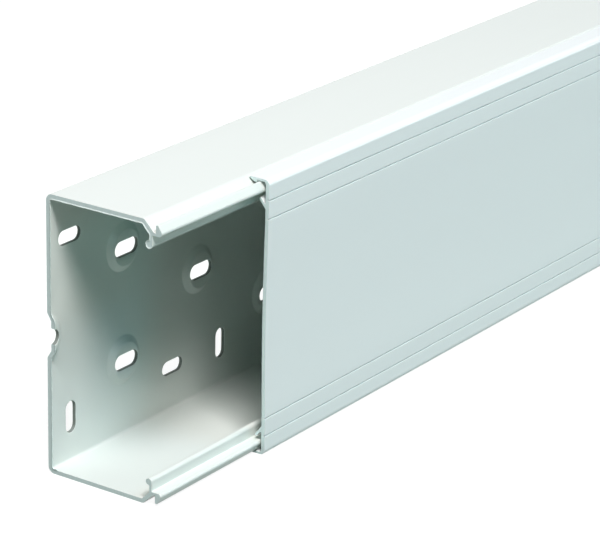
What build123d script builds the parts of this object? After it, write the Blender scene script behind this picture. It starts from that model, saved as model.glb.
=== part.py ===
"""Two-piece PVC-U cable trunking, 100 x 50 mm in section and 2 m long.

X runs along the length, the cover faces -Y, the back of the trough faces +Y,
and Z is up from the lower side wall, on which the trunking stands.
Section points are written as (depth behind the cover's face, inset from the
outer side face), and the upper half of a section mirrors the lower half.
"""

import os
from math import radians, tan

from build123d import *

os.makedirs("parts", exist_ok=True)

# Overall sizes
LENGTH = 2000.0
WIDTH = 100.0
DEPTH = 50.0
COVER_SET_BACK = 56.0

# Trough: back, side walls and their corners
WALL = 1.6
BACK_CORNER_RADIUS = 2.5
BEND_RADIUS = 2.8

# Trough: the lip that steps in from each side wall
LIP_STEP = 3.8
GROOVE_BEHIND_FACE = 5.6
GROOVE_RISE = 0.3
NOSE_BEHIND_FACE = 2.0
NOSE_THICKNESS = 2.6
NOSE_TIP_THICKNESS = 0.9
NOSE_SHOULDER = (2.35, 3.3)
NOSE_SHOULDER_RADIUS = 2.0
NOSE_RADIUS = 1.1
NOSE_TIP_RADIUS = 0.4
WEB_THICKNESS = 1.3
LEG_BEHIND_FACE = 6.0
LEG_THICKNESS = 1.0
LEG_REACH = 9.6
LEG_BEAD_RADIUS = 1.2

# Cover: plate, flanges that snap over the noses, and inner legs
COVER_THICKNESS = 1.5
COVER_CORNER_RADIUS = 2.0
COVER_INSIDE_RADIUS = 0.8
FLANGE_THICKNESS = 0.95
FLANGE_LENGTH = 8.3
FLANGE_TIP = 0.3
BARB_BEHIND_FACE = 5.1
BARB_REACH = 0.65
BARB_FLAT = 1.2
SNAP_CLEARANCE = 0.25
INNER_LEG_THICKNESS = 1.0
INNER_LEG_ROOT = 9.7
INNER_LEG_DROP = 2.4
INNER_LEG_LEAN = 2.95

# Cover: a pair of fine lines along each edge of the face
LINE_INSETS = (7.2, 13.8)
LINE_WIDTH = 0.7
LINE_DEPTH = 0.35

# Back of the trough: pressed bosses and slots, repeated along the length
PITCH = 85.1
FIRST_CENTRE_BOSS = -3.8
SIDE_BOSS_SPACING = 41.6
BOSS_FOOT_DIAMETER = 18.0
BOSS_TOP_DIAMETER = 13.3
BOSS_HEIGHT = 1.5
BOSS_SIDES = 12
BOSS_SLOT_LENGTH = 12.5
BOSS_SLOT_WIDTH = 5.6
PLAIN_SLOT_LENGTH = 11.5
PLAIN_SLOT_WIDTH = 5.1
PLAIN_SLOT_OFFSET = 14.2
PLAIN_SLOT_INSET = 17.4

# Places that follow from the sizes
trough_start = -(LENGTH + COVER_SET_BACK) / 2
trough_end = trough_start + LENGTH
cover_start = trough_start + COVER_SET_BACK
middle = WIDTH / 2
saw_allowance = BOSS_FOOT_DIAMETER
web_inset = LIP_STEP + WEB_THICKNESS
nose_tip_inset = FLANGE_THICKNESS + SNAP_CLEARANCE
nose_back = NOSE_BEHIND_FACE + NOSE_THICKNESS
slope_start = GROOVE_BEHIND_FACE + LIP_STEP
slope_start_inside = slope_start + WALL * tan(radians(45 / 2))
leg_back = LEG_BEHIND_FACE + LEG_THICKNESS
leg_back_inset = WALL + slope_start_inside - leg_back
barb_back = BARB_BEHIND_FACE + BARB_FLAT
barb_inset = FLANGE_THICKNESS + BARB_REACH


def at(behind_face, inset):
    """A section point from its depth behind the face and its inset."""
    return (behind_face - DEPTH / 2, inset)


def inside_stock(x, size):
    """Whether a feature of this size, centred at x, touches the cut length."""
    return trough_start - size / 2 < x < trough_end + size / 2


# Rows of features along the length: centre bosses stand on whole pitches, and
# pairs of side bosses half a pitch further on
pitches = range(int(LENGTH / PITCH) + 3)
centre_columns = [trough_start + FIRST_CENTRE_BOSS + n * PITCH for n in pitches]
side_columns = [x + PITCH / 2 for x in centre_columns]
centre_columns = [x for x in centre_columns if inside_stock(x, BOSS_FOOT_DIAMETER)]
side_columns = [x for x in side_columns if inside_stock(x, BOSS_FOOT_DIAMETER)]
side_heights = (middle - SIDE_BOSS_SPACING / 2, middle + SIDE_BOSS_SPACING / 2)
centre_bosses = [(x, middle) for x in centre_columns]
side_bosses = [(x, z) for x in side_columns for z in side_heights]

# Four side slots make one fixing pattern, near each end and at the middle
whole_columns = [x for x in side_columns if x + BOSS_FOOT_DIAMETER / 2 < trough_end]
last_pair = len(whole_columns) - 2
fixing_columns = [
    whole_columns[first + step] for first in (0, last_pair // 2, last_pair) for step in (0, 1)
]
fixing_slots = [(x, z) for x, z in side_bosses if x in fixing_columns]
other_boss_slots = centre_bosses + [p for p in side_bosses if p[0] not in fixing_columns]

# Plain slots flank each centre boss: one lies along and one stands across the
# length on each side of it
low_inset = PLAIN_SLOT_INSET
high_inset = WIDTH - PLAIN_SLOT_INSET
slots_along = [(x + PLAIN_SLOT_OFFSET, high_inset) for x in centre_columns]
slots_along += [(x - PLAIN_SLOT_OFFSET, low_inset) for x in centre_columns]
slots_across = [(x + PLAIN_SLOT_OFFSET, low_inset) for x in centre_columns]
slots_across += [(x - PLAIN_SLOT_OFFSET, high_inset) for x in centre_columns]
slots_along = [p for p in slots_along if inside_stock(p[0], PLAIN_SLOT_LENGTH)]
slots_across = [p for p in slots_across if inside_stock(p[0], PLAIN_SLOT_WIDTH)]

back_outside = Plane.XZ.offset(-DEPTH / 2)
back_inside = Plane.XZ.offset(WALL - DEPTH / 2)


def bevelled_slot(length, width):
    """A slot whose round ends are made of three flats, to keep repeats light."""
    with BuildSketch() as outline:
        Rectangle(length, width)
        chamfer(outline.vertices(), width / 2 * (2 - 2**0.5))
    return outline.sketch


def boss_form():
    """A tapered boss, round to the nearest flat, that stands up from its foot."""
    with BuildPart() as form:
        with BuildSketch():
            RegularPolygon(BOSS_FOOT_DIAMETER / 2, BOSS_SIDES)
        with BuildSketch(Plane.XY.offset(BOSS_HEIGHT)):
            RegularPolygon(BOSS_TOP_DIAMETER / 2, BOSS_SIDES)
        loft()
    return form.part


boss = boss_form()
boss_slot = bevelled_slot(BOSS_SLOT_LENGTH, BOSS_SLOT_WIDTH)
plain_slot = bevelled_slot(PLAIN_SLOT_LENGTH, PLAIN_SLOT_WIDTH)

# Trough: extruded section, bosses pressed up from behind, slots punched
# through, and both ends sawn square
with BuildPart() as trough:
    with BuildSketch(Plane.YZ.offset(trough_start - saw_allowance)):
        with BuildLine():
            FilletPolyline(
                at(DEPTH, middle),
                at(DEPTH, 0),
                at(slope_start, 0),
                at(GROOVE_BEHIND_FACE, LIP_STEP),
                at(nose_back, LIP_STEP + GROOVE_RISE),
                at(nose_back, nose_tip_inset),
                at(nose_back - NOSE_TIP_THICKNESS, nose_tip_inset),
                at(*NOSE_SHOULDER),
                at(NOSE_BEHIND_FACE, web_inset),
                at(LEG_BEHIND_FACE, web_inset),
                at(LEG_BEHIND_FACE, LEG_REACH - LEG_BEAD_RADIUS),
                at(leg_back, LEG_REACH - LEG_BEAD_RADIUS),
                at(leg_back, leg_back_inset),
                at(slope_start_inside, WALL),
                at(DEPTH - WALL, WALL),
                at(DEPTH - WALL, middle),
                radius=[
                    0,
                    BACK_CORNER_RADIUS,
                    BEND_RADIUS,
                    0,
                    0,
                    NOSE_TIP_RADIUS,
                    NOSE_TIP_RADIUS,
                    NOSE_SHOULDER_RADIUS,
                    NOSE_RADIUS,
                    0,
                    0,
                    0,
                    0,
                    BEND_RADIUS - WALL,
                    BACK_CORNER_RADIUS - WALL,
                    0,
                ],
                close=True,
            )
        make_face()
        with Locations(at(LEG_BEHIND_FACE + LEG_BEAD_RADIUS, LEG_REACH - LEG_BEAD_RADIUS)):
            Circle(LEG_BEAD_RADIUS)
        mirror(about=Plane.XZ.offset(-middle))
    extrude(amount=LENGTH + 2 * saw_allowance)

    with Locations(back_inside):
        with Locations(*centre_bosses, *side_bosses):
            add(boss)
    with Locations(back_outside):
        with Locations(*centre_bosses, *side_bosses):
            add(boss, mode=Mode.SUBTRACT)

    with BuildSketch(back_outside):
        with Locations(*fixing_slots):
            SlotOverall(BOSS_SLOT_LENGTH, BOSS_SLOT_WIDTH)
        with Locations(*other_boss_slots):
            add(boss_slot)
        with Locations(*slots_along):
            add(plain_slot)
        with Locations(*slots_across):
            add(plain_slot, rotation=90)
    extrude(amount=WALL + BOSS_HEIGHT + SNAP_CLEARANCE, mode=Mode.SUBTRACT)

    split(bisect_by=Plane.YZ.offset(trough_start), keep=Keep.TOP)
    split(bisect_by=Plane.YZ.offset(trough_end), keep=Keep.BOTTOM)

# Cover: a plate with barbed flanges that close over the trough's noses
with BuildPart() as cover:
    with BuildSketch(Plane.YZ.offset(cover_start)):
        with BuildLine():
            FilletPolyline(
                at(0, middle),
                at(0, 0),
                at(FLANGE_LENGTH, 0),
                at(FLANGE_LENGTH, FLANGE_TIP),
                at(barb_back, barb_inset),
                at(BARB_BEHIND_FACE, barb_inset),
                at(BARB_BEHIND_FACE, FLANGE_THICKNESS),
                at(COVER_THICKNESS, FLANGE_THICKNESS),
                at(COVER_THICKNESS, middle),
                radius=[
                    0,
                    COVER_CORNER_RADIUS,
                    0,
                    0,
                    0,
                    0,
                    0,
                    COVER_INSIDE_RADIUS,
                    0,
                ],
                close=True,
            )
        make_face()
        lean = Vector(INNER_LEG_DROP, -INNER_LEG_LEAN).normalized()
        across = Vector(-lean.Y, lean.X) * INNER_LEG_THICKNESS / 2
        root = Vector(*at(COVER_THICKNESS, INNER_LEG_ROOT))
        tip = root + Vector(INNER_LEG_DROP, -INNER_LEG_LEAN)
        buried = lean * COVER_THICKNESS / 2
        with BuildLine():
            Polyline(
                root - buried + across,
                tip + across,
                tip - across,
                root - buried - across,
                close=True,
            )
        make_face()
        for inset in LINE_INSETS:
            with BuildLine():
                Polyline(
                    at(0, inset - LINE_WIDTH / 2),
                    at(LINE_DEPTH, inset),
                    at(0, inset + LINE_WIDTH / 2),
                    close=True,
                )
            make_face(mode=Mode.SUBTRACT)
        mirror(about=Plane.XZ.offset(-middle))
    extrude(amount=LENGTH)

trough.part.label = "trough"
cover.part.label = "cover"
export_step(trough.part, "parts/trough.step")
export_step(cover.part, "parts/cover.step")
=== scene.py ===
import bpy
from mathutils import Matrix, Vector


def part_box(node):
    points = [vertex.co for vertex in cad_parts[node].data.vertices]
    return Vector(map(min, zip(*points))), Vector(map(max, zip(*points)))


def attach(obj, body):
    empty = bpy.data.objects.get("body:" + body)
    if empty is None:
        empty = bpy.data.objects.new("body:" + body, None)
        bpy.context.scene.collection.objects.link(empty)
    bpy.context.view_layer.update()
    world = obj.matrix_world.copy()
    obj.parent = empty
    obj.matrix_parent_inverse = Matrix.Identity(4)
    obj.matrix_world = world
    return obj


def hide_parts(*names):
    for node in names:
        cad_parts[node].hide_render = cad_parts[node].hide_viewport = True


bl_info = {
    "name": "Cable Trunking",
    "version": (1, 0, 0),
    "blender": (4, 5, 0),
    "location": "View3D > Sidebar > Trunking",
    "description": "Two-part rigid PVC cable trunking, dressed on a pale studio floor",
    "category": "Add Mesh",
}

from math import cos, radians, sin

import bmesh
import bpy
import numpy as np
from bpy.props import FloatProperty, FloatVectorProperty, IntProperty, PointerProperty
from bpy.types import Operator, Panel, PropertyGroup
from mathutils import Matrix, Vector

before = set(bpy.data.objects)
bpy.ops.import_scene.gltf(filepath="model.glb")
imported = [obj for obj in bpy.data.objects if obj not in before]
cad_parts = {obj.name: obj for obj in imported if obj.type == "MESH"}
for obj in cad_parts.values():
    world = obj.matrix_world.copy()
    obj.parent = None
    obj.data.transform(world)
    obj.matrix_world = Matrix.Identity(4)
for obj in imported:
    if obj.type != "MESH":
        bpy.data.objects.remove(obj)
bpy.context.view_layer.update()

MM = 0.001
TROUGH_LOW, TROUGH_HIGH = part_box("trough")
COVER_LOW, COVER_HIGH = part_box("cover")
FACE_Y = COVER_LOW.y
BACK_Y = TROUGH_HIGH.y
WIDTH = TROUGH_HIGH.z
DEPTH = BACK_Y - FACE_Y

# Layout of the back: how far a centre boss's cells reach past half the side
# spacing, the insets at which the pattern and its plain slots' cells end, the
# steps across each cell, and the width of the fine ring round a plain slot
CENTRE_CELL_MARGIN = 1.7 * MM
PATTERN_INSET = 8 * MM
PLAIN_CELL_INSET = 26 * MM
CELL_STEPS_X = (6, 6, 12)
CELL_STEPS_Z = (5, 7, 7, 5)
PLAIN_SLOT_RING = 1.2 * MM

# Fineness: the longest step across the cover's plate, the share of an edge's
# break at which its middle point lies, the distances within which points are
# welded and a cut snaps to them, the angles past which edges stay sharp, and
# how far the cover is made past its ends before it is sawn
PLATE_STEP = 3 * MM
EDGE_MIDDLE = 0.3
TROUGH_WELD = 1e-6
COVER_WELD = 1e-7
CUT_SNAP = 1e-7
SHARP_DEGREES = 25
BURR_SHARP_DEGREES = 40
SAW_MARGIN = 5 * MM

# Places of a piece's materials: drawn faces, sawn ends and punched walls, whose dark colour is
# painted shade
DRAWN, SAWN, PUNCHED_PAINTED_SHADE = range(3)

# Burr: the rounded corners from the back wall to the front of the leg's bead,
# the steps down the back wall, where the burr along the back ends, how far
# the upper burr's waves are shifted, and the waves (radians a millimetre,
# phase) with their mean and swing
CORNERS_TO_BEAD = 7
BACK_STEPS = 120
BACK_BURR_DEPTH = 4 * MM
UPPER_BURR_SHIFT = 0.2
REACH_WAVES = ((1.1, 0), (2.9, 1.7), (7.3, 0.4))
REACH_MEAN, REACH_SWING = 0.65, 0.35
HEIGHT_WAVES = ((0.7, 2.1), (3.7, 0.9), (5.9, 2.6))
HEIGHT_MEAN, HEIGHT_SWING = 0.8, 0.2

# The six corners of the burr's section, from its root inside the wall round
# its tip: millimetres and a share of the reach into the channel, then
# millimetres and a share of the height off the sawn face
BURR_CORNERS = (
    (-0.22, 0, -0.04, 0),
    (-0.1, 0, 0.03, 0),
    (0, 0.5, 0, 1),
    (0, 1, 0, 0.75),
    (0, 0.8, -0.1, 0),
    (0, 0, -0.2, 0),
)


# Properties

def length(name, description, millimetres):
    """A length property with its default given in millimetres."""
    return FloatProperty(
        name=name,
        description=description,
        default=millimetres * MM,
        precision=5,
        subtype="DISTANCE",
        unit="LENGTH",
    )


def colour(name, description, red, green, blue):
    """A colour property with its default given as 8-bit display values."""
    display = np.array([red, green, blue]) / 255
    linear = np.where(display <= 0.04045, display / 12.92, ((display + 0.055) / 1.055) ** 2.4)
    return FloatVectorProperty(
        name=name,
        description=description,
        default=tuple(linear),
        min=0,
        max=1,
        subtype="COLOR",
    )


def share(name, description, default):
    """A property from nought to one."""
    return FloatProperty(
        name=name, description=description, default=default, min=0, max=1, subtype="FACTOR"
    )


def power(name, description, watts):
    """A lamp's power."""
    return FloatProperty(name=name, description=description, default=watts, min=0, unit="POWER")


def angle(name, description, degrees):
    """An angle property with its default given in degrees."""
    return FloatProperty(
        name=name, description=description, default=radians(degrees), subtype="ANGLE"
    )


class TroughSection(PropertyGroup):
    """Sizes of the trough's extruded section."""

    wall: length("Wall", "Thickness of the back and the side walls", 1.6)
    back_corner: length("Back corner", "Outside radius along the back corners", 2.5)
    inner_corner: length("Inner corner", "Inside radius along the back corners", 0.9)
    bend: length("Bend", "Outside radius where a side wall turns into its lip", 1.9)
    step: length("Lip step", "How far the lip steps in from the side wall", 3.8)
    groove: length("Groove", "Depth of the snap groove behind the face", 5.6)
    groove_rise: length("Groove rise", "How much the groove's floor climbs to the nose", 0.3)
    nose_front: length("Nose front", "Depth of the nose's front behind the face", 2.0)
    nose_back: length("Nose back", "Depth of the nose's back behind the face", 4.6)
    nose_tip: length("Nose tip", "Inset of the nose's tip from the side face", 1.2)
    nose_tip_width: length("Nose tip width", "Width of the nose at its tip", 0.9)
    nose_lean: length("Nose lean", "How far the nose's shoulder stands behind its front", 0.35)
    nose_shoulder: length("Nose shoulder", "Inset of the nose's shoulder from the side face", 3.3)
    nose_bulge: length("Nose bulge", "Radius of the nose's shoulder", 2.0)
    nose_radius: length("Nose radius", "Radius under the nose's front", 1.1)
    nose_tip_radius: length("Nose tip radius", "Radius of the tip's edges", 0.4)
    web: length("Web", "Thickness of the web behind the nose", 1.3)
    leg_front: length("Leg front", "Depth of the inward leg behind the face", 6.0)
    leg: length("Leg", "Thickness of the inward leg", 1.0)
    leg_reach: length("Leg reach", "Inset of the leg's tip from the side face", 9.6)
    bead: length("Bead", "Width of the rounded bead on the leg's tip", 2.4)


class CoverSection(PropertyGroup):
    """Sizes of the cover's extruded section."""

    plate: length("Plate", "Thickness of the cover's plate", 1.5)
    sink: length("Sink", "How far the plate's middle has sunk as it cooled", 0.45)
    sink_inset: length("Sink inset", "Inset from the side face at which the sink begins", 16)
    corner: length("Corner", "Outside radius along the cover's edges", 2.0)
    inner_corner: length("Inner corner", "Inside radius along the cover's edges", 0.8)
    flange: length("Flange", "Thickness of the flange", 0.95)
    flange_length: length("Flange length", "Depth that the flange reaches behind the face", 8.3)
    flange_tip: length("Flange tip", "Thickness of the flange at its tip", 0.3)
    barb_front: length("Barb front", "Depth of the barb's hook behind the face", 5.1)
    barb_flat: length("Barb flat", "Width of the barb's flat top", 1.2)
    barb_inset: length("Barb inset", "Inset of the barb's top from the side face", 1.6)
    leg: length("Inner leg", "Thickness of the slanting inner leg", 1.0)
    leg_root: length("Leg root", "Inset of the inner leg's far side at the plate", 10.5)
    leg_drop: length("Leg drop", "How far the inner leg reaches behind the plate", 2.8)
    leg_lean: length("Leg lean", "How far the inner leg leans to the side", 3.44)
    line_inset_outer: length("Outer line", "Inset of the outer line on the face", 7.2)
    line_inset_inner: length("Inner line", "Inset of the inner line on the face", 13.8)
    line_width: length("Line width", "Width of a line on the face", 0.48)
    line_depth: length("Line depth", "Depth of a line on the face", 0.5)


class BackPattern(PropertyGroup):
    """Sizes of the bosses and slots in the back of the trough."""

    pitch: length("Pitch", "Distance after which the pattern repeats", 85.1)
    first_boss: length("First boss", "Place of the first centre boss from the end", -3.8)
    side_spacing: length("Side spacing", "Distance between the bosses of a pair", 41.6)
    foot: length("Boss foot", "Radius of a boss at its foot", 9.0)
    top: length("Boss top", "Radius of a boss at its top", 6.65)
    height: length("Boss height", "How far a boss stands into the channel", 1.7)
    foot_blend: length("Foot blend", "Half-width of the blend round a boss's foot", 0.25)
    top_blend: length("Top blend", "Half-width of the blend round a boss's top", 0.15)
    boss_slot_length: length("Boss slot length", "Overall length of a boss's slot", 12.5)
    boss_slot_width: length("Boss slot width", "Width of a boss's slot", 5.6)
    plain_slot_length: length("Plain slot length", "Overall length of a plain slot", 11.5)
    plain_slot_width: length("Plain slot width", "Width of a plain slot", 5.1)
    plain_offset: length("Plain offset", "Place of plain slots beside a centre boss", 14.2)
    plain_inset: length("Plain inset", "Inset of plain slots from the side face", 17.4)
    punched_edge: length("Punched edge", "Rounding of the slots' punched edges", 0.3)


class Making(PropertyGroup):
    """How finely the pieces are made, and how their ends are sawn."""

    arc_steps: IntProperty(
        name="Arc steps", description="Points along each rounded corner", default=7, min=3, max=16
    )
    sharp: length("Sharp radius", "Radius left on the section's sharp corners", 0.1)
    lead: length("Lead", "Length of the support strips beside each arc", 0.02)
    saw_break: length("Saw break", "Width of the broken edge round a sawn end", 0.08)
    burr_width: length("Burr width", "How far the saw's burr hangs into the channel", 0.42)
    burr_height: length("Burr height", "How far the burr stands off the sawn face", 0.22)
    burr_step: length("Burr step", "Distance between the burr's sections", 0.2)


class Finish(PropertyGroup):
    """Colours and gloss of the plastic."""

    body: colour("Trough", "Colour of the trough's drawn faces", 213, 224, 218)
    cover: colour("Cover", "Colour of the cover's drawn faces", 223, 234, 232)
    sawn: colour("Sawn ends", "Colour of the sawn ends", 226, 251, 249)
    # The punched walls' dark colour is painted shade in the slots; the plastic there is as pale as
    # the rest
    punched: colour("Punched walls", "Colour of the slots' walls", 122, 134, 128)
    burr: colour("Burr", "Colour of the burr on the open end", 224, 244, 240)
    roughness: share("Roughness", "Roughness of the extruded surfaces", 0.32)
    sawn_roughness: share("Sawn roughness", "Roughness of the sawn ends", 0.6)


class Stage(PropertyGroup):
    """Floor, light and camera."""

    floor: colour("Floor", "Colour of the floor", 104, 116, 109)
    white: share("White", "Floor's own glow to the camera", 0.93)
    key: power("Key", "Power of the key light", 55)
    front: power("Front", "Power of the front light", 6.5)
    low: power("Low", "Power of the low front light", 2.4)
    side: power("Side", "Power of the low light along the cover", 3.6)
    far: power("Far", "Power of the low light on the far end", 14)
    over: power("Over", "Power of the light over the far end", 14)
    back: power("Back", "Power of the light behind the back", 40)
    azimuth: angle("Azimuth", "Camera azimuth, from straight in front of the cover", -55.543)
    elevation: angle("Elevation", "Camera elevation", 20.508)
    roll: angle("Roll", "Camera roll", 1.337)
    distance: length("Distance", "Distance from the camera to the open end", 935.15)
    aim_right: length("Aim right", "View centre's place right of the open end's centre", 63.75)
    aim_up: length("Aim up", "View centre's place above the open end's centre", 26.10)
    lens: FloatProperty(
        name="Lens", description="Focal length", default=171.11, min=1, unit="CAMERA"
    )


# Section outlines

def unit(vectors):
    """Each vector divided by its own length."""
    return vectors / np.linalg.norm(vectors, axis=-1, keepdims=True)


def rounded(corners, radii):
    """An open outline with an arc at every corner between its ends.

    The arc's centre lies on the corner's bisector at the radius over the sine
    of half the corner's angle. Its points turn evenly from the foot of the
    centre on one side to the foot on the other, and a short lead-in and
    lead-out on the straight sides keep the flats flat when shaded.
    """
    making = bpy.context.scene.trunking_making
    corners = np.asarray(corners, float)
    radii = np.asarray(radii, float)[:, None]
    here, before, after = corners[1:-1], corners[:-2], corners[2:]
    back, ahead = unit(before - here), unit(after - here)
    half = np.arccos(np.clip((back * ahead).sum(1), -1, 1))[:, None] / 2
    reach = radii / np.tan(half)
    centre = here + unit(back + ahead) * radii / np.sin(half)
    start, end = here + back * reach - centre, here + ahead * reach - centre
    turn = (np.pi - 2 * half)[:, :, None]
    along = np.linspace(0, 1, making.arc_steps)[None, :, None]
    arcs = np.sin((1 - along) * turn) * start[:, None] + np.sin(along * turn) * end[:, None]
    arcs = centre[:, None] + arcs / np.sin(turn)
    lead_in = (here + back * (reach + making.lead))[:, None]
    lead_out = (here + ahead * (reach + making.lead))[:, None]
    points = np.concatenate([lead_in, arcs, lead_out], axis=1).reshape(-1, 2)
    return np.concatenate([corners[:1], points, corners[-1:]])


def divided(breaks, counts):
    """Places or points from the first to the last, with each run in even steps."""
    runs = [
        np.linspace(start, end, count, endpoint=False)
        for start, end, count in zip(breaks, breaks[1:], counts)
    ]
    return np.concatenate([*runs, breaks[-1:]])


def finer(outline, longest):
    """An outline with its long straight runs divided into even steps."""
    spans = np.linalg.norm(np.diff(outline, axis=0), axis=1)
    return divided(outline, np.ceil(spans / longest).astype(int))


def section_points(pairs):
    """(depth behind the face, inset from the side face) pairs as (Y, Z) places."""
    pairs = np.asarray(pairs, float)
    return np.stack([FACE_Y + pairs[:, 0], pairs[:, 1]], axis=1)


def lip_outline(panel_edge):
    """The trough's lower side from the inner back round the lip to the outer back.

    It starts and ends at panel_edge on the two faces of the back wall. The
    slope turns in at 45 degrees, and its inner face is the outer one moved in
    by the wall's thickness.
    """
    s = bpy.context.scene.trunking_trough
    sharp = bpy.context.scene.trunking_making.sharp
    slope = s.groove + s.step
    inner_slope = slope + s.wall * (2**0.5 - 1)
    leg_back = s.leg_front + s.leg
    web_inset = s.step + s.web
    bead_back = s.leg_front + s.bead
    bead_radius = s.bead / 2 - 1.5 * bpy.context.scene.trunking_making.lead
    path = [
        (DEPTH - s.wall, panel_edge, 0),
        (DEPTH - s.wall, s.wall, s.inner_corner),
        (inner_slope, s.wall, s.bend - s.wall),
        (leg_back, s.wall + inner_slope - leg_back, 3 * sharp),
        (leg_back, s.leg_reach - s.bead, sharp),
        (bead_back, s.leg_reach - s.bead, bead_radius),
        (bead_back, s.leg_reach, bead_radius),
        (s.leg_front, s.leg_reach, bead_radius),
        (s.leg_front, web_inset, 3 * sharp),
        (s.nose_front, web_inset, s.nose_radius),
        (s.nose_front + s.nose_lean, s.nose_shoulder, s.nose_bulge),
        (s.nose_back - s.nose_tip_width, s.nose_tip, s.nose_tip_radius),
        (s.nose_back, s.nose_tip, s.nose_tip_radius),
        (s.nose_back, s.step + s.groove_rise, sharp),
        (s.groove, s.step, sharp),
        (slope, 0, s.bend),
        (DEPTH, 0, s.back_corner),
        (DEPTH, panel_edge, 0),
    ]
    path = np.array(path)
    return rounded(section_points(path[:, :2]), path[1:-1, 2])


def cover_outline():
    """The whole closed section of the cover.

    The lower half runs from the face's middle past the two grooved lines,
    round the edge, along the flange and its barb, round the slanting leg and
    back to the middle, and its mirror image closes it. Between the legs the
    plate sinks in by a shallow parabola.
    """
    s = bpy.context.scene.trunking_cover
    sharp = bpy.context.scene.trunking_making.sharp
    lean = np.array([s.leg_drop, -s.leg_lean]) / np.hypot(s.leg_drop, s.leg_lean)
    aside = np.array([lean[1], -lean[0]]) * s.leg
    root = np.array([s.plate, s.leg_root])
    tip = root + (s.leg_drop, -s.leg_lean)
    near_tip = tip + aside
    near_root = near_tip - lean * (near_tip[0] - s.plate) / lean[0]
    half_line = s.line_width / 2
    path = [(0, WIDTH / 2, 0)]
    for inset in (s.line_inset_inner, s.line_inset_outer):
        path += [
            (0, inset + half_line, sharp),
            (s.line_depth, inset + half_line, sharp),
            (s.line_depth, inset - half_line, sharp),
            (0, inset - half_line, sharp),
        ]
    path += [
        (0, 0, s.corner),
        (s.flange_length, 0, sharp),
        (s.flange_length, s.flange_tip, sharp),
        (s.barb_front + s.barb_flat, s.barb_inset, sharp),
        (s.barb_front, s.barb_inset, sharp),
        (s.barb_front, s.flange, sharp),
        (s.plate, s.flange, s.inner_corner),
        (*near_root, 3 * sharp),
        (*near_tip, 2 * sharp),
        (*tip, 2 * sharp),
        (*root, 3 * sharp),
        (s.plate, WIDTH / 2, 0),
    ]
    path = np.array(path)
    half = finer(rounded(section_points(path[:, :2]), path[1:-1, 2]), PLATE_STEP)
    from_middle = (WIDTH / 2 - half[:, 1]) / (WIDTH / 2 - s.sink_inset)
    half[:, 0] += s.sink * np.clip(1 - from_middle**2, 0, None)
    mirrored = half[::-1] * (1, -1) + (0, WIDTH)
    return np.concatenate([half, mirrored[1:-1]])


# Meshes

class Surface:
    """Vertices and faces gathered from several sheets into one mesh."""

    def __init__(self):
        self.points = []
        self.faces = []
        self.count = 0

    def add(self, points, *face_sets):
        """Adds a sheet's points and its faces, which number the sheet's own points."""
        points = np.asarray(points, float).reshape(-1, 3)
        self.points.append(points)
        self.faces += [np.asarray(faces) + self.count for faces in face_sets]
        self.count += len(points)

    def mesh(self, name):
        """The mesh, with all faces written through foreach_set."""
        mesh = bpy.data.meshes.new(name)
        points = np.concatenate(self.points)
        sizes = np.concatenate([np.full(len(f), f.shape[1]) for f in self.faces])
        corners = np.concatenate([f.ravel() for f in self.faces])
        mesh.vertices.add(len(points))
        mesh.vertices.foreach_set("co", points.ravel())
        mesh.loops.add(len(corners))
        mesh.loops.foreach_set("vertex_index", corners.astype(np.int32))
        mesh.polygons.add(len(sizes))
        starts = np.cumsum(sizes) - sizes
        mesh.polygons.foreach_set("loop_start", starts.astype(np.int32))
        mesh.update(calc_edges=True)
        return mesh


def grid_faces(rows, columns, wrap=False):
    """The four-sided faces of a grid of points, closed round its columns if wrapped."""
    numbers = np.arange(rows * columns).reshape(rows, columns)
    if wrap:
        numbers = np.concatenate([numbers, numbers[:, :1]], axis=1)
    low, high = numbers[:-1], numbers[1:]
    faces = [low[:, :-1], low[:, 1:], high[:, 1:], high[:, :-1]]
    return np.stack(faces, axis=-1).reshape(-1, 4)


def swept(outline, stations):
    """A (Y, Z) outline repeated at each X station, as a grid of points."""
    points = np.empty((len(stations), len(outline), 3))
    points[:, :, 0] = np.asarray(stations)[:, None]
    points[:, :, 1:] = outline
    return points


def slot_radius(bearing, straight, radius):
    """How far a slot's outline is from its centre in each direction.

    The outline is a stadium: two straight sides, and an end circle at each end
    of its straight middle. Where the direction meets a side before the end
    circle the distance is the radius over the sine, and past it the distance
    to the end circle.
    """
    across, along = np.abs(np.sin(bearing)), np.abs(np.cos(bearing))
    to_side = radius / np.maximum(across, 1e-9)
    to_end = straight * along + np.sqrt(np.maximum(radius**2 - (straight * across) ** 2, 0))
    return np.where(to_side * along <= straight, to_side, to_end)


def soft_ramp(distance, blend):
    """Zero below nought and the distance above it, with a parabola between."""
    middle = (distance + blend) ** 2 / (4 * blend)
    return np.where(distance < -blend, 0, np.where(distance > blend, distance, middle))


def boss_rise(radius):
    """How far a boss's surface stands up, by distance from its centre.

    It is a cone between foot and top, blended into the flat at both.
    """
    p = bpy.context.scene.trunking_back
    slope = p.height / (p.foot - p.top)
    climb = soft_ramp(p.foot - radius, p.foot_blend) - soft_ramp(p.top - radius, p.top_blend)
    return slope * climb


def lattice():
    """Lines of X and Z places across one repeat of the back, and their counts.

    Every cell of the back takes its edge points from these lines, so that
    neighbouring cells share them. X is measured from the centre boss.
    """
    p = bpy.context.scene.trunking_back
    column = p.side_spacing / 2 + CENTRE_CELL_MARGIN
    x_line = divided(np.array([-column, 0, column, p.pitch - column]), CELL_STEPS_X)
    lows = [PATTERN_INSET, PLAIN_CELL_INSET]
    highs = [WIDTH - PLAIN_CELL_INSET, WIDTH - PATTERN_INSET]
    z_line = divided(np.array([*lows, WIDTH / 2, *highs]), CELL_STEPS_Z)
    return x_line, z_line, np.cumsum((0, *CELL_STEPS_X)), np.cumsum((0, *CELL_STEPS_Z))


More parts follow.
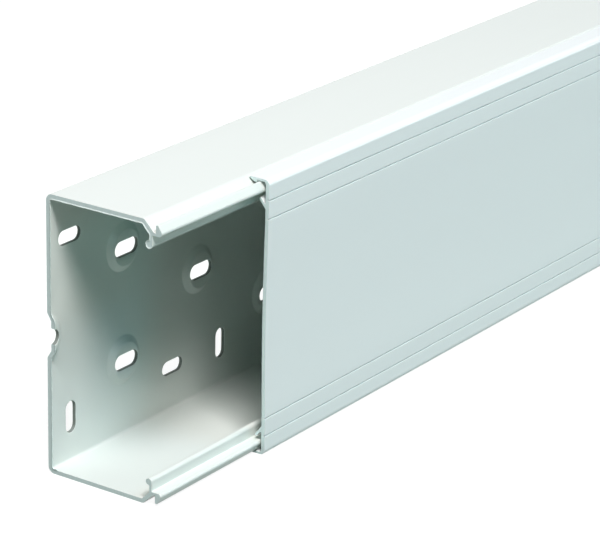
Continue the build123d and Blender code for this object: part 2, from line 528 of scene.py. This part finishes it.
def edge_points(x_line, z_line):
    """The points round a cell, anticlockwise from its low corner."""
    low = np.stack([x_line[:-1], np.full(len(x_line) - 1, z_line[0])], 1)
    right = np.stack([np.full(len(z_line) - 1, x_line[-1]), z_line[:-1]], 1)
    high = np.stack([x_line[:0:-1], np.full(len(x_line) - 1, z_line[-1])], 1)
    left = np.stack([np.full(len(z_line) - 1, x_line[0]), z_line[:0:-1]], 1)
    return np.concatenate([low, right, high, left])


def placed(distance, bearing, centre, depth):
    """Points at a distance and direction from a centre in the back's plane."""
    x = centre[0] + distance * np.cos(bearing)
    z = centre[1] + distance * np.sin(bearing)
    return np.stack([x, np.broadcast_to(depth, x.shape), z], axis=-1)


def boss_cell(surface, edge, centre):
    """One boss with its slot, from the cell's edge inside round to the edge outside.

    Rings of points share the directions of the cell's edge points. They follow
    circles over the boss and the slot's outline at its hole.
    """
    p = bpy.context.scene.trunking_back
    inner, outer = BACK_Y - bpy.context.scene.trunking_trough.wall, BACK_Y
    offset = edge - centre
    bearing = np.arctan2(offset[:, 1], offset[:, 0])
    far = np.hypot(offset[:, 0], offset[:, 1])
    straight, radius = (p.boss_slot_length - p.boss_slot_width) / 2, p.boss_slot_width / 2
    brk = p.punched_edge
    circles = [p.foot + p.foot_blend, p.foot, p.foot - p.foot_blend]
    circles += [p.top + p.top_blend, p.top, p.top - p.top_blend]
    rings = [placed(far, bearing, centre, inner)]
    rings += [placed(r, bearing, centre, inner - boss_rise(r)) for r in circles]
    plateau_in, plateau_out = inner - p.height, outer - p.height
    holes = ((brk, 0), (EDGE_MIDDLE * brk, EDGE_MIDDLE * brk), (0, brk))
    for widen, sink in holes:
        hole = slot_radius(bearing, straight, radius + widen)
        rings.append(placed(hole, bearing, centre, plateau_in + sink))
    for widen, sink in holes[::-2]:
        hole = slot_radius(bearing, straight, radius + widen)
        rings.append(placed(hole, bearing, centre, plateau_out - sink))
    rings.append(placed(p.top, bearing, centre, plateau_out))
    rings.append(placed(p.foot, bearing, centre, outer))
    rings.append(placed(far, bearing, centre, outer))
    surface.add(np.stack(rings), grid_faces(len(rings), len(edge), wrap=True))


def plain_cell(surface, edge, centre, turned):
    """One plain slot in a flat cell, from its edge inside round to its edge outside.

    The rings round the slot have twice the points of the cell's edge, so a
    strip of three triangles for each edge point joins the two.
    """
    p = bpy.context.scene.trunking_back
    inner, outer = BACK_Y - bpy.context.scene.trunking_trough.wall, BACK_Y
    offset = edge - centre
    bearing = np.unwrap(np.arctan2(offset[:, 1], offset[:, 0]))
    between = (bearing + np.append(bearing[1:], bearing[0] + 2 * np.pi)) / 2
    fine = np.stack([bearing, between], 1).ravel()
    straight, radius = (p.plain_slot_length - p.plain_slot_width) / 2, p.plain_slot_width / 2
    brk = p.punched_edge
    turn = np.pi / 2 if turned else 0
    middle = EDGE_MIDDLE * brk
    depths = [(PLAIN_SLOT_RING, inner), (brk, inner), (middle, inner + middle), (0, inner + brk)]
    depths += [(0, outer - brk), (brk, outer), (PLAIN_SLOT_RING, outer)]
    rings = [
        placed(slot_radius(fine - turn, straight, radius + widen), fine, centre, y)
        for widen, y in depths
    ]
    n = len(edge)
    here = np.arange(n)
    then = (here + 1) % n
    rim = [np.stack([edge[:, 0], np.full(n, y), edge[:, 1]], 1) for y in (inner, outer)]
    points = np.concatenate([rim[0], *rings, rim[1]])
    first, last = n, n + (len(rings) - 1) * 2 * n
    strips = []
    for start, rim_start in ((first, 0), (last, n + len(rings) * 2 * n)):
        even, odd, next_even = start + 2 * here, start + 2 * here + 1, start + 2 * then
        strips.append(np.stack([rim_start + here, even, odd], 1))
        strips.append(np.stack([rim_start + here, odd, rim_start + then], 1))
        strips.append(np.stack([rim_start + then, odd, next_even], 1))
    quads = grid_faces(len(rings), 2 * n, wrap=True) + n
    surface.add(points, quads, np.concatenate(strips))


def back_cells(surface, start):
    """The seven cells of one repeat of the back, about a centre boss at start."""
    p = bpy.context.scene.trunking_back
    x_line, z_line, xi, zi = lattice()
    x_line = x_line + start
    half = WIDTH / 2
    side = p.side_spacing / 2
    mid = start + p.pitch / 2

    def edge(x0, x1, z0, z1):
        return edge_points(x_line[xi[x0] : xi[x1] + 1], z_line[zi[z0] : zi[z1] + 1])

    boss_cell(surface, edge(0, 2, 1, 3), (start, half))
    boss_cell(surface, edge(2, 3, 0, 2), (mid, half - side))
    boss_cell(surface, edge(2, 3, 2, 4), (mid, half + side))
    low, high = p.plain_inset, WIDTH - p.plain_inset
    plain_cell(surface, edge(0, 1, 0, 1), (start - p.plain_offset, low), False)
    plain_cell(surface, edge(1, 2, 0, 1), (start + p.plain_offset, low), True)
    plain_cell(surface, edge(0, 1, 3, 4), (start - p.plain_offset, high), True)
    plain_cell(surface, edge(1, 2, 3, 4), (start + p.plain_offset, high), False)


def seam_faces(surface, fine_x, fine_z, coarse_z, y):
    """One flat face from a repeat's fine edge line to the coarse line of the sweep."""
    fine = np.stack([fine_x, np.full(len(fine_x), y), np.full(len(fine_x), fine_z)], 1)
    coarse = np.array([[fine_x[-1], y, coarse_z], [fine_x[0], y, coarse_z]])
    points = np.concatenate([fine, coarse])
    surface.add(points, np.arange(len(points))[None])


def outward_and_smooth(mesh, degrees):
    """Turns all faces outward and shades them smooth, apart from edges past an angle."""
    bm = bmesh.new()
    bm.from_mesh(mesh)
    bmesh.ops.recalc_face_normals(bm, faces=bm.faces)
    bm.to_mesh(mesh)
    bm.free()
    mesh.polygons.foreach_set("use_smooth", np.ones(len(mesh.polygons), bool))
    mesh.set_sharp_from_angle(angle=radians(degrees))
    mesh.update()


def saw(mesh, low_x, high_x, weld):
    """Welds a mesh, cuts it square at two places along X and caps the cuts.

    The cut is made a little inside the end, and each cap is inset and moved out
    by the same small amount, which leaves a narrow bevel round the end.
    """
    brk = bpy.context.scene.trunking_making.saw_break
    bm = bmesh.new()
    bm.from_mesh(mesh)
    bmesh.ops.remove_doubles(bm, verts=bm.verts, dist=weld)
    for place, out in ((low_x + brk, -1), (high_x - brk, 1)):
        cut = bmesh.ops.bisect_plane(
            bm,
            geom=bm.verts[:] + bm.edges[:] + bm.faces[:],
            dist=CUT_SNAP,
            plane_co=(place, 0, 0),
            plane_no=(out, 0, 0),
            clear_outer=True,
        )
        edges = [e for e in cut["geom_cut"] if isinstance(e, bmesh.types.BMEdge)]
        caps = bmesh.ops.holes_fill(bm, edges=edges, sides=0)["faces"]
        bmesh.ops.recalc_face_normals(bm, faces=bm.faces)
        bmesh.ops.inset_region(
            bm, faces=caps, thickness=brk, depth=brk, use_even_offset=True, use_boundary=True
        )
        for face in caps:
            face.material_index = SAWN
    bm.to_mesh(mesh)
    bm.free()
    outward_and_smooth(mesh, SHARP_DEGREES)


def mark_punched(mesh):
    """Gives the walls of the punched slots their own material, whose dark colour is painted shade.

    They are the faces of the back wall that look across it: a boss's flank
    leans far too little to count.
    """
    count = len(mesh.polygons)
    centres, normals, indices = np.empty(count * 3), np.empty(count * 3), np.empty(count, np.int32)
    mesh.polygons.foreach_get("center", centres)
    mesh.polygons.foreach_get("normal", normals)
    mesh.polygons.foreach_get("material_index", indices)
    centres, normals = centres.reshape(-1, 3), normals.reshape(-1, 3)
    section, back = bpy.context.scene.trunking_trough, bpy.context.scene.trunking_back
    deep = centres[:, 1] > BACK_Y - section.wall - back.height
    central = np.abs(centres[:, 2] - WIDTH / 2) < WIDTH / 2 - section.leg_reach
    across = np.abs(normals[:, 1]) < 0.5
    indices[deep & central & across & (indices == DRAWN)] = PUNCHED_PAINTED_SHADE
    mesh.polygons.foreach_set("material_index", indices)


def inner_edge(x):
    """The lower inner edge of the trough's section at X, as (Y, Z) points.

    It starts at the rim of the slot that X cuts, follows the boss and the back
    wall down, and then the lip's outline to the front of the leg's bead.
    """
    p = bpy.context.scene.trunking_back
    corners_in = CORNERS_TO_BEAD * (bpy.context.scene.trunking_making.arc_steps + 2)
    lip = lip_outline(PATTERN_INSET)[: corners_in + 1]
    off = x - (TROUGH_LOW.x + p.first_boss)
    straight, radius = (p.boss_slot_length - p.boss_slot_width) / 2, p.boss_slot_width / 2
    rim = np.sqrt(radius**2 - max(off - straight, 0) ** 2)
    z = np.linspace(WIDTH / 2 - rim, lip[0, 1], BACK_STEPS)
    y = BACK_Y - bpy.context.scene.trunking_trough.wall
    back = np.stack([y - boss_rise(np.hypot(off, z - WIDTH / 2)), z], axis=1)
    return np.concatenate([back, lip[1:]])


def even_steps(path, step):
    """A path's points moved to even distances along it."""
    along = np.append(0, np.cumsum(np.linalg.norm(np.diff(path, axis=0), axis=1)))
    places = np.linspace(0, along[-1], int(along[-1] / step) + 1)
    return np.stack([np.interp(places, along, path[:, k]) for k in (0, 1)], axis=1), places


def burr_points(path, places, x):
    """The burr's sections along an inner edge, as a grid of points.

    Each section leans from the sawn face out along X and into the channel. Its
    reach and height waver with sums of sines of the distance along the edge,
    which never repeat within its length.
    """
    making = bpy.context.scene.trunking_making
    run = unit(np.gradient(path, axis=0))
    into = np.stack([run[:, 1], -run[:, 0]], axis=1)
    mm = places / MM

    def waver(waves):
        total = sum(np.sin(rate * mm + phase) for rate, phase in waves)
        return total / np.abs(total).max()

    reach = making.burr_width * (REACH_MEAN + REACH_SWING * waver(REACH_WAVES))
    height = making.burr_height * (HEIGHT_MEAN + HEIGHT_SWING * waver(HEIGHT_WAVES))
    across_mm, across_share, out_mm, out_share = np.array(BURR_CORNERS).T
    across = across_mm * MM + across_share * reach[:, None]
    out = out_mm * MM + out_share * height[:, None]
    points = np.empty((len(path), len(BURR_CORNERS), 3))
    points[:, :, 0] = x - out
    points[:, :, 1:] = path[:, None] + into[:, None] * across[:, :, None]
    return points


# Materials

def nodes_of(name):
    """A new material's node tree, emptied, with an output."""
    material = bpy.data.materials.new(name)
    material.use_nodes = True
    tree = material.node_tree
    tree.nodes.clear()
    return material, tree, tree.nodes.new("ShaderNodeOutputMaterial")


def noise(tree, scale, detail):
    """A noise texture's output in object space, with its own scale along X, Y and Z."""
    coordinates = tree.nodes.new("ShaderNodeTexCoord")
    place = tree.nodes.new("ShaderNodeMapping")
    place.inputs["Scale"].default_value = scale
    texture = tree.nodes.new("ShaderNodeTexNoise")
    texture.inputs["Scale"].default_value = 1
    texture.inputs["Detail"].default_value = detail
    tree.links.new(coordinates.outputs["Object"], place.inputs["Vector"])
    tree.links.new(place.outputs["Vector"], texture.inputs["Vector"])
    return texture.outputs["Fac"]


def plastic(name, tone, dark, roughness, mottle, relief, strength, height):
    """PVC: a colour that a mottle darkens to a share, and a fine relief from noise.

    Mottle and relief are each the noise's scales along X, Y and Z and its detail.
    """
    material, tree, output = nodes_of(name)
    shader = tree.nodes.new("ShaderNodeBsdfPrincipled")
    shader.inputs["IOR"].default_value = 1.53
    tint = tree.nodes.new("ShaderNodeMix")
    tint.data_type = "RGBA"
    tint.inputs["A"].default_value = (*(dark * c for c in tone), 1)
    tint.inputs["B"].default_value = (*tone, 1)
    tree.links.new(noise(tree, *mottle), tint.inputs["Factor"])
    tree.links.new(tint.outputs["Result"], shader.inputs["Base Color"])
    grain = noise(tree, *relief)
    rough = tree.nodes.new("ShaderNodeMapRange")
    rough.inputs["To Min"].default_value = 0.85 * roughness
    rough.inputs["To Max"].default_value = 1.15 * roughness
    tree.links.new(grain, rough.inputs["Value"])
    tree.links.new(rough.outputs["Result"], shader.inputs["Roughness"])
    bump = tree.nodes.new("ShaderNodeBump")
    bump.inputs["Strength"].default_value = strength
    bump.inputs["Distance"].default_value = height
    tree.links.new(grain, bump.inputs["Height"])
    tree.links.new(bump.outputs["Normal"], shader.inputs["Normal"])
    tree.links.new(shader.outputs["BSDF"], output.inputs["Surface"])
    return material


def extruded(name, tone):
    """The satin face that the die leaves: faint lines drawn along X, and a slow mottle."""
    roughness = bpy.context.scene.trunking_finish.roughness
    mottle, relief = ((6, 30, 30), 3), ((3, 900, 900), 2)
    strength, height = 0.15, 0.01 * MM
    return plastic(name, tone, 0.97, roughness, mottle, relief, strength, height)


def extruded_trough():
    """The trough's drawn faces."""
    return extruded("extruded_trough", bpy.context.scene.trunking_finish.body)


def extruded_cover():
    """The cover's drawn faces, a shade cooler."""
    return extruded("extruded_cover", bpy.context.scene.trunking_finish.cover)


def sawn_pvc():
    """Sawn ends: matt, with fine marks across the wall."""
    look = bpy.context.scene.trunking_finish
    marks = ((200, 2500, 500), 4)
    return plastic("sawn_pvc", look.sawn, 0.85, look.sawn_roughness, marks, marks, 0.5, 0.05 * MM)


def punched_pvc_painted_shade():
    """Walls of the punched slots: sheared, so matt; their darker colour is painted shade."""
    look = bpy.context.scene.trunking_finish
    marks = ((1500, 300, 1500), 3)
    roughness = look.sawn_roughness
    return plastic("punched_pvc_painted_shade", look.punched, 0.85, roughness, marks, marks, 0.5, 0.05 * MM)


def burr_pvc():
    """The burr: stretched thin, so whiter than the rest."""
    look = bpy.context.scene.trunking_finish
    marks = ((2500, 2500, 2500), 3)
    return plastic("burr_pvc", look.burr, 0.9, look.sawn_roughness, marks, marks, 0.6, 0.05 * MM)


def piece(name, mesh, body, materials):
    """Links a finished mesh as a piece that stands for its CAD node.

    Each material is made by its function on first use.
    """
    for maker in materials:
        mesh.materials.append(bpy.data.materials.get(maker.__name__) or maker())
    thing = bpy.data.objects.new(name, mesh)
    bpy.context.scene.collection.objects.link(thing)
    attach(thing, body)
    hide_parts(body)
    return thing


# Operators

class TRUNKING_OT_trough(Operator):
    """Makes the slotted trough over its CAD node"""

    bl_idname = "trunking.trough"
    bl_label = "Make Trough"

    def execute(self, context):
        p = context.scene.trunking_back
        surface = Surface()
        x_line, z_line, _, _ = lattice()
        first = TROUGH_LOW.x + p.first_boss
        repeats = int(np.ceil((TROUGH_HIGH.x - first - x_line[0]) / p.pitch))
        starts = first + p.pitch * np.arange(repeats)
        for start in starts:
            back_cells(surface, start)
        outline = lip_outline(z_line[0])
        inner_run, outer_run = outline[1, 1], outline[-2, 1]
        stations = np.append(starts, starts[-1] + p.pitch) + x_line[0]
        sweep = swept(outline[1:-1], stations)
        faces = grid_faces(len(stations), len(outline) - 2)
        surface.add(sweep, faces)
        surface.add(sweep * (1, 1, -1) + (0, 0, WIDTH), faces)
        for start in starts:
            for y, run in ((outline[0, 0], inner_run), (outline[-1, 0], outer_run)):
                seam_faces(surface, start + x_line, z_line[0], run, y)
                seam_faces(surface, start + x_line, z_line[-1], WIDTH - run, y)
        mesh = surface.mesh("trough_pvc_shell")
        burr = context.scene.trunking_making.burr_height
        saw(mesh, TROUGH_LOW.x + burr, TROUGH_HIGH.x, TROUGH_WELD)
        mark_punched(mesh)
        kinds = (extruded_trough, sawn_pvc, punched_pvc_painted_shade)
        piece("trough_channel", mesh, "trough", kinds)
        return {"FINISHED"}


class TRUNKING_OT_burr(Operator):
    """Makes the ragged burr that the saw left along the open end's back and top"""

    bl_idname = "trunking.burr"
    bl_label = "Make Burr"

    def execute(self, context):
        making = context.scene.trunking_making
        x = TROUGH_LOW.x + making.burr_height
        path, places = even_steps(inner_edge(x), making.burr_step)
        along_back = np.argmax(path[:, 0] < BACK_Y - BACK_BURR_DEPTH)
        lower = burr_points(path[:along_back], places[:along_back], x)
        upper = burr_points(path, places + UPPER_BURR_SHIFT, x) * (1, 1, -1) + (0, 0, WIDTH)
        surface = Surface()
        for points in (lower, upper):
            rows, corners = points.shape[:2]
            last = corners * (rows - 1)
            ends = np.array([range(corners), range(last, last + corners)])
            surface.add(points, grid_faces(rows, corners, wrap=True), ends)
        mesh = surface.mesh("trough_burr_shell")
        outward_and_smooth(mesh, BURR_SHARP_DEGREES)
        piece("trough_burr", mesh, "trough", (burr_pvc,))
        return {"FINISHED"}


class TRUNKING_OT_cover(Operator):
    """Makes the cover over its CAD node"""

    bl_idname = "trunking.cover"
    bl_label = "Make Cover"

    def execute(self, context):
        outline = cover_outline()
        stations = (COVER_LOW.x - SAW_MARGIN, COVER_HIGH.x + SAW_MARGIN)
        surface = Surface()
        surface.add(swept(outline, stations), grid_faces(2, len(outline), wrap=True))
        mesh = surface.mesh("cover_pvc_shell")
        saw(mesh, COVER_LOW.x, COVER_HIGH.x, COVER_WELD)
        piece("cover_lid", mesh, "cover", (extruded_cover, sawn_pvc))
        return {"FINISHED"}


class TRUNKING_OT_stage(Operator):
    """Makes the floor, the lights and the camera"""

    bl_idname = "trunking.stage"
    bl_label = "Make Stage"

    def execute(self, context):
        scene = context.scene
        stage = scene.trunking_stage
        scene.view_settings.view_transform = "Standard"
        make_floor(stage)
        make_world(scene)
        make_lights(stage)
        make_camera(scene, stage)
        return {"FINISHED"}


def seen_directly(tree):
    """A value of 1 for rays from the camera or off gloss or through glass, else 0."""
    path = tree.nodes.new("ShaderNodeLightPath")
    rays = ("Is Camera Ray", "Is Glossy Ray", "Is Transmission Ray")
    total = path.outputs[rays[0]]
    for name in rays[1:]:
        most = tree.nodes.new("ShaderNodeMath")
        most.operation = "MAXIMUM"
        tree.links.new(total, most.inputs[0])
        tree.links.new(path.outputs[name], most.inputs[1])
        total = most.outputs[0]
    return total


def make_floor(stage):
    """A wide floor that glows nearly white to the camera and keeps the shadow."""
    reach = 30.0
    corners = [(-reach, -reach, 0), (reach, -reach, 0), (reach, reach, 0), (-reach, reach, 0)]
    mesh = bpy.data.meshes.new("studio_floor")
    mesh.from_pydata(corners, [], [(0, 1, 2, 3)])
    material, tree, output = nodes_of("studio_floor")
    diffuse = tree.nodes.new("ShaderNodeBsdfDiffuse")
    diffuse.inputs["Color"].default_value = (*stage.floor, 1)
    glow = tree.nodes.new("ShaderNodeEmission")
    glow.inputs["Color"].default_value = (*[stage.white] * 3, 1)
    both = tree.nodes.new("ShaderNodeAddShader")
    tree.links.new(seen_directly(tree), glow.inputs["Strength"])
    tree.links.new(diffuse.outputs[0], both.inputs[0])
    tree.links.new(glow.outputs[0], both.inputs[1])
    tree.links.new(both.outputs[0], output.inputs["Surface"])
    mesh.materials.append(material)
    floor = bpy.data.objects.new("studio_floor", mesh)
    bpy.context.scene.collection.objects.link(floor)


def make_world(scene):
    """Surroundings that look white but leave the lighting to the lamps."""
    world = bpy.data.worlds.new("studio")
    world.use_nodes = True
    tree = world.node_tree
    tree.nodes.clear()
    output = tree.nodes.new("ShaderNodeOutputWorld")
    dim = tree.nodes.new("ShaderNodeBackground")
    dim.inputs["Strength"].default_value = 0
    white = tree.nodes.new("ShaderNodeBackground")
    white.inputs["Strength"].default_value = 1
    mix = tree.nodes.new("ShaderNodeMixShader")
    tree.links.new(seen_directly(tree), mix.inputs["Fac"])
    tree.links.new(dim.outputs[0], mix.inputs[1])
    tree.links.new(white.outputs[0], mix.inputs[2])
    tree.links.new(mix.outputs[0], output.inputs["Surface"])
    scene.world = world


def soft_light(name, along, azimuth, elevation, distance, size, watts, tint):
    """A square area light that faces a place along the trunking.

    The place is measured from the open end. Azimuth nought is off the open
    end, and 90 degrees is straight in front of the cover.
    """
    a, e = radians(azimuth), radians(elevation)
    toward = Vector((-cos(a) * cos(e), -sin(a) * cos(e), sin(e)))
    lamp = bpy.data.lights.new(name, "AREA")
    lamp.shape = "SQUARE"
    lamp.size = size
    lamp.energy = watts
    lamp.color = tint
    light = bpy.data.objects.new(name, lamp)
    bpy.context.scene.collection.objects.link(light)
    light.location = Vector((TROUGH_LOW.x + along, 0, WIDTH / 2)) + toward * distance
    light.rotation_euler = (-toward).to_track_quat("-Z", "Y").to_euler()


def make_lights(stage):
    """A soft key high off the open end, and lamps that fill the other sides.

    The front, low and side lamps fill the cover's face, two lamps light the
    far end, and one the back. Each line gives the place that the lamp faces
    from the open end, its azimuth, elevation, distance and size.
    """
    soft_light("key", 0.05, 50, 60, 1.95, 0.65, stage.key, (1, 0.91, 0.92))
    soft_light("front", 0.05, 106, 49, 2, 0.7, stage.front, (0.35, 0.72, 1))
    soft_light("low", 0.05, 90, 5, 2, 0.7, stage.low, (0.35, 1, 0.97))
    soft_light("side", 0.05, 140, 5, 2, 0.3, stage.side, (0.85, 1, 1))
    soft_light("far", 3.2, 100, 5, 2, 0.7, stage.far, (1, 1, 1))
    soft_light("over", 2.4, 35, 45, 1.5, 0.5, stage.over, (1, 1, 1))
    soft_light("back", 1, -90, 5, 2.5, 0.4, stage.back, (1, 1, 1))


def make_camera(scene, stage):
    """A camera that looks at the open end from its azimuth and elevation."""
    a, e, r = stage.azimuth, stage.elevation, stage.roll
    back = Vector((sin(a) * cos(e), -cos(a) * cos(e), sin(e)))
    level = Vector((cos(a), sin(a), 0))
    upright = back.cross(level)
    right = level * cos(r) + upright * sin(r)
    up = upright * cos(r) - level * sin(r)
    aim = Vector((TROUGH_LOW.x, 0, WIDTH / 2)) + right * stage.aim_right + up * stage.aim_up
    place = aim + back * stage.distance
    data = bpy.data.cameras.new("camera")
    data.sensor_fit = "HORIZONTAL"
    data.sensor_width = 36
    data.lens = stage.lens
    data.clip_start = 0.01
    data.clip_end = 100
    camera = bpy.data.objects.new("camera", data)
    scene.collection.objects.link(camera)
    turn = Matrix((right, up, back)).transposed().to_4x4()
    camera.matrix_world = Matrix.Translation(place) @ turn
    scene.camera = camera


class TRUNKING_PT_panel(Panel):
    """Lists the trunking's operators and sizes"""

    bl_idname = "TRUNKING_PT_panel"
    bl_label = "Cable Trunking"
    bl_space_type = "VIEW_3D"
    bl_region_type = "UI"
    bl_category = "Trunking"

    def draw(self, context):
        for operator in OPERATORS:
            self.layout.operator(operator.bl_idname)
        for name, group in GROUPS.items():
            box = self.layout.box()
            box.label(text=group.__doc__)
            settings = getattr(context.scene, name)
            for key in group.__annotations__:
                box.prop(settings, key)


GROUPS = {
    "trunking_trough": TroughSection,
    "trunking_cover": CoverSection,
    "trunking_back": BackPattern,
    "trunking_making": Making,
    "trunking_finish": Finish,
    "trunking_stage": Stage,
}
OPERATORS = (TRUNKING_OT_trough, TRUNKING_OT_burr, TRUNKING_OT_cover, TRUNKING_OT_stage)
CLASSES = (*GROUPS.values(), *OPERATORS, TRUNKING_PT_panel)


def register():
    for item in CLASSES:
        bpy.utils.register_class(item)
    for name, group in GROUPS.items():
        setattr(bpy.types.Scene, name, PointerProperty(type=group))


def unregister():
    for name in GROUPS:
        delattr(bpy.types.Scene, name)
    for item in reversed(CLASSES):
        bpy.utils.unregister_class(item)


def main():
    register()
    bpy.ops.trunking.trough()
    bpy.ops.trunking.burr()
    bpy.ops.trunking.cover()
    bpy.ops.trunking.stage()


if __name__ == "__main__":
    main()
